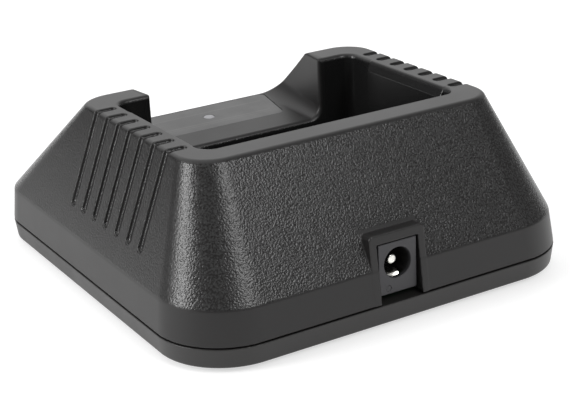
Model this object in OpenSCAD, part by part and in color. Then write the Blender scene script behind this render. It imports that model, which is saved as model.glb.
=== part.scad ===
// Desktop charging cradle for a hand-held two-way radio.
// +Z is up, +Y points to the rear wall with the DC socket, and the origin is the middle of the
// footprint on the table. The feet, the base shell and the top shell stack up in that order.

/* [Case] */
// Width of the case at the seam
case_w = 92.8; // [90:0.1:98]
// Depth of the case at the seam, front to rear
case_d = 99.3; // [97:0.1:104]
// Height of the case above the table
case_h = 36.8; // [35:0.1:42]
// Radius of the rear corners at the seam
case_r = 15.0; // [14:0.1:17]
// Radius of the front corners at the seam
case_front_r = 13.0; // [12.5:0.1:15]
// Height that the rubber feet hold the underside off the table
stand_h = 1.0; // [0.6:0.1:1.5]
// Height of the base shell, from its underside to the seam
base_h = 4.2; // [4:0.1:5]
// Height of the smooth band above the seam
band_h = 7.3; // [6.5:0.1:8]
// How far the top of the band is set in from the seam
band_inset = 0.9; // [0.5:0.1:1.2]
// Wall thickness of both shells
wall = 2.0; // [1.8:0.1:2.2]

/* [Top Face] */
// Width of the top face
top_w = 71.8; // [70:0.1:74]
// Front edge of the top face, at the tips of the two horns
top_front_y = -20.2; // [-21.5:0.1:-19]
// Rear edge of the top face
top_rear_y = 34.0; // [33:0.1:35]
// Radius of the rear corners of the top face
top_r = 7.3; // [6:0.1:8]
// Radius of the front corners of the top face
top_front_r = 6.8; // [6:0.1:8.5]

/* [Pocket] */
// Width of the pocket between its side walls
pocket_w = 60.0; // [58:0.1:61]
// Front edge of the pocket
pocket_front_y = -12.8; // [-13.5:0.1:-12]
// Rear edge of the pocket
pocket_rear_y = 27.6; // [26.5:0.1:28]
// Height of the pocket floor above the table
pocket_floor_z = 12.0; // [11.8:0.1:13]
// Corner radius of the pocket
pocket_r = 2.8; // [2:0.1:4]
// How far the side guide pads stand into the pocket
pad_t = 0.7; // [0.4:0.1:0.9]

/* [Front Deck] */
// Gap between the two horns at the pocket
mouth_w = 43.0; // [40:0.1:45]
// Height of the deck at the pocket
deck_inner_z = 22.8; // [22:0.1:24]
// Height of the deck at its front edge
deck_outer_z = 24.3; // [23:0.1:25]
// Width of the front label along its front edge
label_w = 37.0; // [30:0.1:38]
// Depth of the front label
label_d = 13.4; // [10:0.1:14]
// How far each side of the label slants in towards the pocket
label_taper = 2.1; // [0:0.1:4]

/* [Grooves] */
// Number of grip grooves on each side
groove_count = 7; // [3:1:7]
// Distance from one groove to the next
groove_pitch = 5.35; // [4.5:0.05:5.4]
// Width of a groove
groove_w = 2.0; // [0.8:0.1:2.4]
// Depth of a groove
groove_depth = 0.7; // [0.4:0.1:0.9]

/* [DC Socket] */
// Width of the socket body
jack_w = 9.0; // [8.8:0.1:9]
// Height of the socket body
jack_h = 10.8; // [10.6:0.1:11]
// Length of the socket body
jack_l = 14.0; // [13.8:0.1:14.2]
// Bore of the socket
jack_bore_d = 6.3; // [6:0.1:6.4]
// Diameter of the centre pin
jack_pin_d = 2.0; // [1.6:0.1:2.1]

/* [Charging Contacts] */
// Distance between the two charging contacts
contact_pitch = 16.0; // [15:0.5:20]
// Width of a contact blade
contact_w = 4.0; // [3:0.1:4]
// Thickness of a contact blade
contact_t = 0.4; // [0.3:0.05:0.4]

/* [Circuit Board] */
// Width of the board
board_w = 50.0; // [48:0.5:56]
// Thickness of the board
board_t = 1.6; // [1.5:0.1:1.6]

/* [Hidden] */

eps = 0.01;                               // thickness of the slabs that hulls are drawn from
over = 1;                                 // how far a cut runs past the face it opens
play = 0.15;                              // gap between parts that slide together
shell_black = [0.17, 0.17, 0.18];
rubber_black = [0.10, 0.10, 0.10];
metal = [0.80, 0.80, 0.78];

// Heights above the table
seam_z = stand_h + base_h;
seam_gap = 0.3;
band_z = seam_z + band_h;
floor_top_z = stand_h + wall;
base_inset = 0.7;                         // how far the underside is set in from the seam
board_top_z = stand_h + 5.5;
board_bottom_z = board_top_z - board_t;

// The case's outline at any height of the sloping part, worked out from the band and the top
case_y = case_d / 2;
slope_h = case_h - band_z;
band_x = case_w / 2 - band_inset;
band_y = case_y - band_inset;
function rise(z) = (z - band_z) / slope_h;
function side_x(z) = band_x + (top_w / 2 - band_x) * rise(z);
function rear_y(z) = band_y + (top_rear_y - band_y) * rise(z);
function front_y(z) = -band_y + (top_front_y + band_y) * rise(z);
function corner_r(z) = case_r - 0.4 + (top_r - case_r + 0.4) * rise(z);
function front_r(z) = case_front_r - 1.2 + (top_front_r - case_front_r + 1.2) * rise(z);

// Horizontal thickness of each sloping wall, for the same thickness square to the wall
side_wall = wall * norm([slope_h, band_x - top_w / 2]) / slope_h;
rear_wall = wall * norm([slope_h, band_y - top_rear_y]) / slope_h;
front_wall = wall * norm([slope_h, band_y + top_front_y]) / slope_h;

// Lip of the base shell that locates the top shell
inner_x = band_x - wall - 0.1;
inner_y = band_y - wall - 0.1;
inner_r = case_r - wall - 0.4;
draft = 0.1;                              // how far the inner wall opens out towards the seam
lip_t = 1.2;
lip_h = 2.3;
lip_r = inner_r - play;                   // outer corner radius of the lip

// Screws and feet
case_screw_x = 38;
case_screw_y = 36;
screw_head_d = 5.6;
screw_head_h = 1.9;
screw_d = 2.9;
screw_len = 10;
head_seat_z = stand_h + 2.4;
boss_d = 7;
foot_x = 30;
foot_y = 42.5;
foot_d = 8;
foot_sunk = 0.6;
board_screw_x = 20;
board_screw_y = [-7, 22];
board_screw_d = 1.8;

// Front deck: a plane that rises gently towards the front
deck_front_y = front_y(deck_outer_z);
deck_tilt = atan((deck_outer_z - deck_inner_z) / (pocket_front_y - deck_front_y));
mouth_r_inner = 2.8;
mouth_r_outer = 4.8;
mouth_flare = 0.4;
mouth_draft = 4.0;
label_t = 0.4;
label_r = 1.2;
label_side = norm([label_d, label_taper]);  // length of a slanting side
rating_w = 46;
rating_d = 28;
rating_t = 0.25;
label_sunk = 0.5;
label_mid = 15.0;                         // from the pocket edge to the label's middle, on the deck
window_d = 2.6;

// DC socket, with its face just behind the hood
slot_w = jack_w + 0.8;
slot_top_z = board_top_z + jack_h + 0.2;
hood_w = slot_w + 3.3;
hood_top_z = slot_top_z + 1.85;
hood_draft = band_inset / band_h;
hood_face_y = case_y - hood_draft * (slot_top_z - seam_z);
jack_face_y = hood_face_y - 0.1;
jack_back_y = jack_face_y - jack_l;
jack_bore_z = board_top_z + 6.3;
jack_bore_l = 10;
pin_tip_y = jack_face_y - 1.9;
pin_neck_d = jack_pin_d - 0.4;            // the pin's neck, held in the socket body's back wall
pin_clear = 0.02;
relief_w = 4.0;
relief_h = 3.0;
relief_z = board_top_z + 0.9;
tail_bottom_z = board_bottom_z - 1.0;
tail_w = 1.5;
tail_t = 0.3;
tail_slot = 0.5;                          // board slot beyond the tail it takes

// Leaf of the DC socket: a bent strip on a hinge line at its inner end
leaf_w = 3.4;
leaf_t = 0.35;
leaf_root = [jack_back_y + 2.6, board_top_z + 2.4];
leaf_crest = [jack_face_y - 6.0, jack_bore_z - jack_bore_d / 2 + 0.75];
leaf_front = [jack_face_y - 2.6, leaf_crest[1] - 0.65];
leaf_tip = [jack_face_y - 2.0, leaf_crest[1] - 1.5];
leaf_terminal_y = jack_back_y + 1.2;
switch_y = leaf_root[0] + 2.6;
switch_top_z = leaf_root[1] + 1.45;

// Charging contacts: upright blades whose noses stand through the pocket's rear wall
pocket_wall = 1.8;
blade_y = pocket_rear_y + 4.2;
blade_foot_z = board_top_z + 1.5;
blade_bend_z = pocket_floor_z + 4.6;
nose = [pocket_rear_y - 1.9, pocket_floor_z + 7.4];
blade_end = [pocket_rear_y + 1.0, pocket_floor_z + 10.0];
block_l = contact_pitch + contact_w + 3;
block_d = 3.4;
block_h = 4.0;
block_y = blade_y - 0.3;
window_w = contact_w + 1.0;
window_z = [pocket_floor_z + 3.4, pocket_floor_z + 12.0];

board_front_y = -33;
board_rear_y = 45;
led_y = pocket_front_y - label_mid * cos(deck_tilt);
led_base_z = board_top_z + 10.6;
led_d = 3.0;
led_flange_d = 3.8;
lead_pitch = 1.27;
lead_d = 0.5;
led_top_z = deck_inner_z + label_mid * sin(deck_tilt) - label_sunk - 1.2;

// ---------------------------------------------------------------- shared shapes

// Four corner discs of one level of the case, for a hull; r_front is for the two front ones
module level(z, half_w, y_front, y_rear, r, r_front) {
    for (sx = [-1, 1], c = [[y_front + r_front, r_front], [y_rear - r, r]])
        translate([sx * (half_w - c[1]), c[0], z - eps]) cylinder(r = c[1], h = eps, $fn = 32);
}

// A block with upright rounded corners, as exact cylinders and boxes
module rounded_block(half_w, y_front, y_rear, r, z0, z1) {
    translate([-half_w, y_front + r, z0]) cube([2 * half_w, y_rear - y_front - 2 * r, z1 - z0]);
    translate([r - half_w, y_front, z0]) cube([2 * (half_w - r), y_rear - y_front, z1 - z0]);
    for (sx = [-1, 1], y = [y_front + r, y_rear - r])
        translate([sx * (half_w - r), y, z0]) cylinder(r = r, h = z1 - z0, $fn = 48);
}

// A plate across X, drawn as a [y, z] outline
module across_x(width, outline) {
    translate([-width / 2, 0, 0]) rotate([90, 0, 90]) linear_extrude(width) polygon(outline);
}

// A plate across Y, drawn as an [x, z] outline
module across_y(y0, y1, outline) {
    translate([0, y1, 0]) rotate([90, 0, 0]) linear_extrude(y1 - y0) polygon(outline);
}

// Outline of a bent strip of even thickness along a line of [y, z] points
function along(a, b) = (b - a) / norm(b - a);
function left_of(v) = [-v[1], v[0]];
function miter(p, i, t) =
    let (u = along(p[max(i - 1, 0)], p[max(i, 1)]),
         v = along(p[min(i, len(p) - 2)], p[min(i + 1, len(p) - 1)]),
         m = left_of(u) + left_of(v))
    m * t / (m * left_of(u));
function strip(p, t) = concat(
    [for (i = [0 : len(p) - 1]) p[i] + miter(p, i, t / 2)],
    [for (i = [len(p) - 1 : -1 : 0]) p[i] - miter(p, i, t / 2)]);

module corners(x, y) {
    for (sx = [-1, 1], sy = [-1, 1]) translate([sx * x, sy * y, 0]) children();
}

// ---------------------------------------------------------------- case shells

// The whole upper case as one solid, from a height near the seam to the top face
module case_body(z0) {
    top_edge = [[1.3, 0], [0.4, 0.15], [0, 0.9]];  // drop and set-in of the rounded top edge
    hull() {
        level(z0, case_w / 2, -case_y, case_y, case_r, case_front_r);
        level(band_z, band_x, -band_y, band_y, corner_r(band_z), front_r(band_z));
        for (e = top_edge) {
            z = case_h - e[0];
            level(z, side_x(z) - e[1], front_y(z) + e[1], rear_y(z) - e[1], corner_r(z) - e[1],
                  front_r(z) - e[1]);
        }
    }
}

module case_hollow() {
    z = case_h - wall;
    hull() {
        level(seam_z - over, inner_x + draft, -inner_y - draft, inner_y + draft,
              inner_r + draft, inner_r + draft);
        level(band_z, inner_x, -inner_y, inner_y, inner_r, inner_r);
        level(z, side_x(z) - side_wall, front_y(z) + front_wall, rear_y(z) - rear_wall,
              top_r, top_front_r);
    }
}

// The cut between the horns, from the deck up, wider and rounder towards the front
module mouth(grow) {
    hull() {
        mouth_section(pocket_front_y + grow + over, mouth_w / 2 + grow, 0, mouth_r_inner + grow,
                      deck_inner_z - grow - (grow + over) * tan(deck_tilt));
        mouth_section(-case_y, mouth_w / 2 + mouth_flare + grow, mouth_draft, mouth_r_outer + grow,
                      deck_inner_z - grow + (case_y + pocket_front_y) * tan(deck_tilt));
    }
}

module mouth_section(y, half_w, draft, r, z) {
    for (sx = [-1, 1]) {
        translate([sx * (half_w - r), y, z + r]) rotate([90, 0, 0]) cylinder(r = r, h = eps, $fn = 32);
        translate([sx * (half_w + draft - 0.5) - 0.5, y - eps, case_h + over]) cube([1, eps, eps]);
    }
}

// Everything inside the case that hangs from the top shell
module inner_walls() {
    rounded_block(pocket_w / 2 + pocket_wall, pocket_front_y - pocket_wall,
                  pocket_rear_y + pocket_wall, pocket_r + pocket_wall,
                  pocket_floor_z - wall, case_h);
    mouth(wall);
    corners(case_screw_x, case_screw_y)
        translate([0, 0, seam_z + 0.3]) cylinder(d = boss_d, h = case_h, $fn = 48);
    for (sx = [-1, 1], y = board_screw_y)
        translate([sx * board_screw_x, y, board_top_z])
            cylinder(d = 5.5, h = pocket_floor_z - board_top_z - over, $fn = 48);
}

module pocket() {
    rounded_block(pocket_w / 2, pocket_front_y, pocket_rear_y, pocket_r,
                  pocket_floor_z, case_h + over);
}

// A guide pad on each side wall, with a lead-in slope at its top
module guide_pads() {
    x = pocket_w / 2;
    for (sx = [0, 1]) mirror([sx, 0, 0])
        across_y(-4.6, 23.1, [[x + 0.2, pocket_floor_z - 0.2], [x - pad_t, pocket_floor_z - 0.2],
                              [x - pad_t, case_h - 2.2], [x, case_h - 0.6],
                              [x + 0.2, case_h - 0.6]]);
}

// One groove from the top face, over the edge and down the slope
module groove(y) {
    low_z = stand_h + 16.5;
    inner = top_w / 2 - 4.25;
    across_y(y - groove_w / 2, y + groove_w / 2,
        [[inner, case_h + over], [inner, case_h - groove_depth],
         [side_x(case_h) - groove_depth, case_h - groove_depth],
         [side_x(low_z) - groove_depth, low_z], [side_x(low_z) + over, low_z],
         [side_x(low_z) + over, case_h + over]]);
}

module grooves() {
    first_y = pocket_front_y + 3.7;
    for (sx = [0, 1], i = [0 : groove_count - 1])
        mirror([sx, 0, 0]) groove(first_y + i * groove_pitch);
}

module hood() {
    function face_y(z) = case_y - hood_draft * (z - seam_z);
    z0 = seam_z + seam_gap;
    across_x(hood_w, [[inner_y, z0], [face_y(z0), z0], [face_y(hood_top_z - 0.4), hood_top_z - 0.4],
                      [face_y(hood_top_z) - 0.4, hood_top_z],
                      [rear_y(hood_top_z) - over, hood_top_z], [inner_y, band_z]]);
}

module on_deck(along_deck) {
    translate([0, pocket_front_y, deck_inner_z]) rotate([-deck_tilt, 0, 0])
        translate([0, -along_deck, 0]) children();
}

// Centre of the label's right-hand corner arc at its front (-1) or rear (1) edge
function label_arc(s) =
    let (y = s * (label_d / 2 - label_r))
    [label_w / 2 - label_taper * (y / label_d + 0.5) - label_r * label_side / label_d, y];

// The label's outline: a trapezoid with round corners, narrower towards the pocket
module label_outline(grow) {
    r = label_r + grow;
    out = [label_d, label_taper] * r / label_side;
    half = [label_arc(-1) - [0, r], label_arc(-1) + out, label_arc(1) + out, label_arc(1) + [0, r]];
    polygon(concat(half, [for (i = [3 : -1 : 0]) [-half[i][0], half[i][1]]]));
    for (sx = [-1, 1], sy = [-1, 1])
        translate([sx * label_arc(sy)[0], label_arc(sy)[1]]) circle(r = r, $fn = 32);
}

module top_shell() {
    color(shell_black) difference() {
        union() {
            case_body(seam_z + seam_gap);
            hood();
        }
        difference() {
            case_hollow();
            inner_walls();
        }
        difference() {
            pocket();
            guide_pads();
        }
        mouth(0);
        grooves();
        translate([-slot_w / 2, jack_back_y - over, seam_z - over])
            cube([slot_w, jack_l + 4, slot_top_z - seam_z + over]);
        for (sx = [-1, 1])
            translate([sx * contact_pitch / 2 - window_w / 2, pocket_rear_y - over, window_z[0]])
                cube([window_w, pocket_wall + 2 * over, window_z[1] - window_z[0]]);
        on_deck(label_mid) translate([0, 0, -label_sunk]) linear_extrude(label_sunk + over)
            label_outline(play);
        translate([0, led_y, deck_inner_z - wall - over])
            cylinder(d = led_d + 0.5, h = wall + 2 * over, $fn = 32);
        corners(case_screw_x, case_screw_y) translate([0, 0, seam_z - over])
            cylinder(d = screw_d + 0.1, h = screw_len + 1, $fn = 32);
        for (sx = [-1, 1], y = board_screw_y)
            translate([sx * board_screw_x, y, board_top_z - over])
                cylinder(d = board_screw_d + 0.1, h = 4.2 + over, $fn = 32);
    }
}

module base_shell() {
    lip_out = play + 0.1 + band_inset + wall;
    lip_in = lip_out + lip_t;
    hollow_x = case_w / 2 - lip_in;
    hollow_y = case_y - lip_in;
    color(shell_black) difference() {
        union() {
            difference() {
                union() {
                    hull() {
                        level(stand_h + eps, case_w / 2 - base_inset, base_inset - case_y,
                              case_y - base_inset, case_r - 0.4, case_front_r - 0.4);
                        level(seam_z, case_w / 2, -case_y, case_y, case_r, case_front_r);
                    }
                    rounded_block(case_w / 2 - lip_out, lip_out - case_y, case_y - lip_out,
                                  lip_r, seam_z - over, seam_z + lip_h);
                }
                rounded_block(hollow_x, -hollow_y, hollow_y, lip_r - lip_t,
                              floor_top_z, seam_z + lip_h + over);
                translate([-hood_w / 2, hollow_y - over, seam_z])
                    cube([hood_w, lip_t + 2 * over, lip_h + over]);
            }
            corners(case_screw_x, case_screw_y) translate([0, 0, floor_top_z - eps])
                cylinder(d = boss_d + 1, h = seam_z + 0.2 - floor_top_z, $fn = 48);
        }
        corners(case_screw_x, case_screw_y) translate([0, 0, stand_h - over]) {
            cylinder(d = screw_d + 0.4, h = base_h + 2 * over, $fn = 32);
            cylinder(d = screw_head_d + 0.6, h = head_seat_z - stand_h + over, $fn = 48);
        }
        corners(foot_x, foot_y) translate([0, 0, stand_h - over])
            cylinder(d = foot_d + 0.4, h = foot_sunk + over, $fn = 48);
        translate([0, 0, stand_h - over]) linear_extrude(over + rating_t + 0.05)
            square([rating_w + 0.4, rating_d + 0.4], center = true);
    }
}

module front_label() {
    color([0.13, 0.13, 0.14]) on_deck(label_mid) translate([0, 0, -label_sunk]) difference() {
        linear_extrude(label_t) label_outline(0);
        translate([0, 0, -over]) cylinder(d = window_d + 0.1, h = label_t + 2 * over, $fn = 32);
    }
}

module led_window() {
    color([0.75, 0.75, 0.78]) on_deck(label_mid) translate([0, 0, -label_sunk])
        cylinder(d = window_d, h = label_t, $fn = 32);
}

module rating_label() {
    color([0.72, 0.72, 0.70]) translate([0, 0, stand_h + 0.05]) linear_extrude(rating_t)
        square([rating_w, rating_d], center = true);
}

// A pan-head screw with a cross recess, head down, with its seat at the origin
module screw(d, length, head_d, head_h) {
    difference() {
        union() {
            translate([0, 0, -head_h]) cylinder(d = head_d, h = head_h, $fn = 32);
            cylinder(d = d, h = length - d / 2, $fn = 32);
            translate([0, 0, length - d / 2]) cylinder(d1 = d, d2 = d / 3, h = d / 2, $fn = 32);
        }
        for (turn = [0, 90]) rotate(turn)
            translate([-head_d * 0.3, -head_d * 0.07, -head_h - over])
                cube([head_d * 0.6, head_d * 0.14, head_h * 0.5 + over]);
    }
}

module case_screws() {
    color(metal) corners(case_screw_x, case_screw_y) translate([0, 0, head_seat_z])
        screw(screw_d, screw_len, screw_head_d, screw_head_h);
}

module foot(sx, sy) {
    color(rubber_black) translate([sx * foot_x, sy * foot_y, 0]) {
        cylinder(d1 = foot_d - 0.8, d2 = foot_d, h = 0.4, $fn = 48);
        translate([0, 0, 0.4]) cylinder(d = foot_d, h = stand_h + foot_sunk - 0.4, $fn = 48);
    }
}

module foot_front_left() { foot(-1, -1); }
module foot_front_right() { foot(1, -1); }
module foot_rear_left() { foot(-1, 1); }
module foot_rear_right() { foot(1, 1); }

// ---------------------------------------------------------------- circuit board

module tail_slot_at(x, y, width, thick) {
    translate([x - (width + tail_slot) / 2, y - (thick + tail_slot) / 2, board_bottom_z - over])
        cube([width + tail_slot, thick + tail_slot, board_t + 2 * over]);
}

module main_board() {
    color([0.10, 0.32, 0.16]) difference() {
        translate([-board_w / 2, board_front_y, board_bottom_z])
            cube([board_w, board_rear_y - board_front_y, board_t]);
        for (sx = [-1, 1], y = board_screw_y)
            translate([sx * board_screw_x, y, board_bottom_z - over])
                cylinder(d = board_screw_d + 0.5, h = board_t + 2 * over, $fn = 32);
        for (i = [-1 : 1]) translate([i * lead_pitch, led_y, board_bottom_z - over])
            cylinder(d = lead_d + 0.4, h = board_t + 2 * over, $fn = 24);
        for (sx = [-1, 1]) tail_slot_at(sx * contact_pitch / 2, blade_y, tail_w, contact_t);
        tail_slot_at(0, jack_back_y - tail_t / 2, tail_w, tail_t);
        tail_slot_at(0, leaf_terminal_y, tail_w, tail_t);
        tail_slot_at(jack_w / 2 + tail_t / 2, switch_y, tail_t, tail_w);
    }
}

module board_screws() {
    color(metal) for (sx = [-1, 1], y = board_screw_y)
        translate([sx * board_screw_x, y, board_bottom_z]) screw(board_screw_d, 5.2, 3.4, 0.8);
}

module status_led() {
    dome_r = led_d / 2;
    color([0.85, 0.88, 0.85, 0.8]) translate([0, led_y, led_base_z]) {
        cylinder(d = led_flange_d, h = 1, $fn = 32);
        cylinder(d = led_d, h = led_top_z - led_base_z - dome_r, $fn = 32);
        translate([0, 0, led_top_z - led_base_z - dome_r]) sphere(r = dome_r, $fn = 32);
    }
}

module status_led_leads() {
    color(metal) for (i = [-1 : 1]) translate([i * lead_pitch, led_y, tail_bottom_z])
        cylinder(d = lead_d, h = led_base_z - tail_bottom_z, $fn = 16);
}

module led_spacer() {
    color([0.15, 0.15, 0.15]) translate([0, led_y, board_top_z]) difference() {
        cylinder(d = 4.6, h = led_base_z - board_top_z, $fn = 32);
        for (i = [-1 : 1]) translate([i * lead_pitch, 0, -over])
            cylinder(d = lead_d + 0.2, h = led_base_z - board_top_z + 2 * over, $fn = 24);
    }
}

// A flat chip with a row of bent legs on each long side
module gull_wing_chip(length, width, height, legs_per_side) {
    pitch = 1.27;
    translate([-length / 2, -width / 2, 0.1]) cube([length, width, height - 0.1]);
    for (sy = [-1, 1], i = [0 : legs_per_side - 1])
        translate([(i - (legs_per_side - 1) / 2) * pitch - 0.2,
                   sy > 0 ? width / 2 - eps : -width / 2 - 1 + eps, 0]) {
            cube([0.4, 1, 0.2]);
            translate([0, sy > 0 ? 0 : 0.8, 0]) cube([0.4, 0.2, height / 2]);
        }
}

module on_board(x, y) { translate([x, y, board_top_z]) children(); }

module charge_controller() {
    color([0.12, 0.12, 0.12]) on_board(-6, 4) gull_wing_chip(5, 3.9, 1.5, 4);
}

module pass_transistor() {
    color([0.14, 0.14, 0.14]) on_board(9, -4) {
        translate([-3.3, -3, 0.3]) cube([6.6, 6, 2]);
        translate([-2.7, 2.9, 0]) cube([5.4, 1.6, 0.5]);
        for (sx = [-1, 1]) translate([sx * 2.3 - 0.35, -5.4, 0]) cube([0.7, 2.5, 0.5]);
    }
}

module blocking_diode() {
    color([0.15, 0.15, 0.15]) on_board(14, 13) {
        translate([-2.2, -1.3, 0.2]) cube([4.4, 2.6, 2]);
        for (sx = [-1, 1]) translate([sx * 2.2 - 0.5, -0.7, 0]) cube([1, 1.4, 0.5]);
    }
}

module sense_resistor() {
    color([0.2, 0.2, 0.2]) on_board(-2, -7) translate([-3.2, -1.6, 0]) cube([6.4, 3.2, 0.6]);
}

module input_fuse() {
    color([0.20, 0.35, 0.22]) on_board(13, 39) translate([-2.3, -1.6, 0]) cube([4.6, 3.2, 1.1]);
}

// A surface-mount electrolytic capacitor: plastic base, can, and a groove round the can
module can_capacitor(d, h) {
    base_t = 0.9;
    translate([-d / 2 - 0.1, -d / 2 - 0.1, 0]) cube([d + 0.2, d + 0.2, base_t]);
    translate([0, 0, base_t - eps]) rotate_extrude($fn = 48)
        polygon([[0, 0], [d / 2, 0], [d / 2, 0.8], [d / 2 - 0.25, 1.1], [d / 2, 1.4],
                 [d / 2, h - base_t - 0.3], [d / 2 - 0.3, h - base_t], [0, h - base_t]]);
}

module input_capacitor() { color([0.70, 0.70, 0.72]) on_board(-13, 39) can_capacitor(6.3, 7.7); }
module output_capacitor() { color([0.70, 0.70, 0.72]) on_board(14, -24) can_capacitor(6.3, 7.7); }

module chip_resistors() {
    color([0.10, 0.10, 0.10]) for (i = [0 : 3], j = [0, 1])
        on_board(-16 + 3.4 * i, 12 + 3.2 * j) translate([-0.8, -1.2, 0]) cube([1.6, 2.4, 0.5]);
}

module chip_capacitors() {
    color([0.62, 0.50, 0.36]) for (i = [0 : 3])
        on_board(-16 + 4 * i, -21) translate([-1, -0.6, 0]) cube([2, 1.25, 0.9]);
}

// ---------------------------------------------------------------- DC socket

module along_bore(d, y0, y1, fn = 48) {
    translate([0, y1, jack_bore_z]) rotate([90, 0, 0]) cylinder(d = d, h = y1 - y0, $fn = fn);
}

module dc_jack_body() {
    color([0.20, 0.20, 0.22]) difference() {
        translate([-jack_w / 2, jack_back_y, board_top_z]) cube([jack_w, jack_l, jack_h]);
        along_bore(jack_bore_d, jack_face_y - jack_bore_l, jack_face_y + over);
        along_bore(pin_neck_d + 2 * pin_clear, jack_back_y - over, jack_face_y);
        translate([-relief_w / 2, leaf_root[0] - 0.9, relief_z])
            cube([relief_w, jack_face_y - 1.1 - leaf_root[0] + 0.9, relief_h]);
        translate([-tail_w / 2 - 0.05, leaf_terminal_y - tail_t / 2 - 0.05, board_top_z - over])
            cube([tail_w + 0.1, tail_t + 0.1, leaf_root[1] - board_top_z + over + 0.3]);
        translate([-tail_w / 2 - 0.05, leaf_terminal_y - 0.1, leaf_root[1] - 0.3])
            cube([tail_w + 0.1, leaf_root[0] - leaf_terminal_y, 0.6]);
        translate([1.1, switch_y - tail_w / 2 - 0.1, switch_top_z - tail_t - 0.1])
            cube([jack_w, tail_w + 0.2, tail_t + 0.2]);
    }
}

module dc_jack_centre_pin() {
    tip_r = 0.5;
    color(metal) {
        along_bore(pin_neck_d, jack_back_y - tail_t, jack_face_y - jack_bore_l + over);
        along_bore(jack_pin_d, jack_face_y - jack_bore_l, pin_tip_y - tip_r);
        translate([0, pin_tip_y - tip_r - eps, jack_bore_z]) rotate([-90, 0, 0])
            cylinder(d1 = jack_pin_d, d2 = jack_pin_d - 2 * tip_r, h = tip_r + eps, $fn = 48);
        translate([-tail_w / 2, jack_back_y - tail_t, tail_bottom_z])
            cube([tail_w, tail_t, jack_bore_z - tail_bottom_z]);
    }
}

module dc_jack_leaf() {
    color(metal) across_x(leaf_w, strip([leaf_root, leaf_crest, leaf_front, leaf_tip], leaf_t));
}

module dc_jack_leaf_terminal() {
    color(metal) {
        translate([-tail_w / 2, leaf_terminal_y - tail_t / 2, tail_bottom_z])
            cube([tail_w, tail_t, leaf_root[1] - tail_bottom_z + tail_t / 2]);
        translate([-tail_w / 2, leaf_terminal_y, leaf_root[1] - tail_t / 2])
            cube([tail_w, leaf_root[0] - leaf_terminal_y - 0.25, tail_t]);
    }
}

module dc_jack_switch_terminal() {
    color(metal) {
        translate([jack_w / 2, switch_y - tail_w / 2, tail_bottom_z])
            cube([tail_t, tail_w, switch_top_z - tail_bottom_z]);
        translate([1.3, switch_y - tail_w / 2, switch_top_z - tail_t])
            cube([jack_w / 2 - 1.3 + eps, tail_w, tail_t]);
    }
}

// ---------------------------------------------------------------- charging contacts

module contact_block() {
    color([0.16, 0.16, 0.17]) difference() {
        translate([-block_l / 2, block_y - block_d / 2, board_top_z]) cube([block_l, block_d, block_h]);
        for (sx = [-1, 1]) translate([sx * contact_pitch / 2, 0, 0]) {
            translate([-contact_w / 2 - 0.2, blade_y - contact_t / 2 - 0.25, blade_foot_z - 0.3])
                cube([contact_w + 0.4, contact_t + 0.85, block_h]);
            translate([-tail_w / 2 - 0.02, blade_y - contact_t / 2 - 0.02, board_top_z - over])
                cube([tail_w + 0.04, contact_t + 0.04, block_h]);
        }
    }
}

module contact_blade(side) {
    color(metal) translate([side * contact_pitch / 2, 0, 0]) across_x(contact_w,
        strip([[blade_y, blade_foot_z], [blade_y, blade_bend_z], nose + [0.35, -0.9],
               nose + [0.35, 0.7], blade_end], contact_t));
}

module contact_left() { contact_blade(-1); }
module contact_right() { contact_blade(1); }

module contact_tail(side) {
    color(metal) translate([side * contact_pitch / 2 - tail_w / 2, blade_y - contact_t / 2,
                            tail_bottom_z])
        cube([tail_w, contact_t, blade_foot_z - 0.15 - tail_bottom_z]);
}

module contact_tail_left() { contact_tail(-1); }
module contact_tail_right() { contact_tail(1); }

top_shell();
base_shell();
front_label();
led_window();
rating_label();
case_screws();
foot_front_left();
foot_front_right();
foot_rear_left();
foot_rear_right();
main_board();
board_screws();
dc_jack_body();
dc_jack_centre_pin();
dc_jack_leaf();
dc_jack_leaf_terminal();
dc_jack_switch_terminal();
contact_block();
contact_left();
contact_right();
contact_tail_left();
contact_tail_right();
status_led();
status_led_leads();
led_spacer();
charge_controller();
pass_transistor();
blocking_diode();
sense_resistor();
input_fuse();
input_capacitor();
output_capacitor();
chip_resistors();
chip_capacitors();
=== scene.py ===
"""Looks of the desktop charging cradle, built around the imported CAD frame.

Lengths inside the shape functions are millimetres in the CAD frame: +Z up from the table, +Y to
the rear wall with the DC socket. They turn into metres when a mesh is made.
"""

import math

import bmesh
import bpy
import numpy as np
from mathutils import Matrix, Vector


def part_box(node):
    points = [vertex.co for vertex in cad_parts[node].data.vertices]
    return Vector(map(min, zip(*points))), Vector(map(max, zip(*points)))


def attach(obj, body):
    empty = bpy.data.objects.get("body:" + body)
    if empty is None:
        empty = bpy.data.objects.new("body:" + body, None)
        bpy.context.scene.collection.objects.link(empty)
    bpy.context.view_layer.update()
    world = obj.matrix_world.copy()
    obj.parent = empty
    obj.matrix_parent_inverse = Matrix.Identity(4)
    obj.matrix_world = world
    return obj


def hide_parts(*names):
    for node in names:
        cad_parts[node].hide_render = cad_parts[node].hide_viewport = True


MM = 0.001

# ---------------------------------------------------------------- sizes, millimetres

SEAM_Z = 5.2            # top of the base shell
SEAM_GAP = 0.3
STAND_H = 1.0           # underside above the table
BAND_Z = 12.5           # top of the smooth band
CASE_H = 36.8
CASE_X, CASE_Y, CASE_R, CASE_FRONT_R = 46.4, 49.65, 15.0, 13.0
BAND_X, BAND_Y, BAND_R, BAND_FRONT_R = 45.5, 48.75, 14.6, 11.8
TOP_X, TOP_R, TOP_FRONT_R = 35.9, 7.3, 6.8
TOP_FRONT, TOP_REAR = -20.2, 34.0
WALL = 2.0

POCKET_X, POCKET_FRONT, POCKET_REAR = 30.0, -12.8, 27.6
POCKET_FLOOR, POCKET_R, POCKET_WALL = 12.0, 2.8, 1.8
PAD_T, PAD_Y = 0.7, (-4.6, 23.1)
LEAD_BELOW, LEAD_H = 2.2, 1.6   # the pads thin out from this far below the rim, over this height

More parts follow.
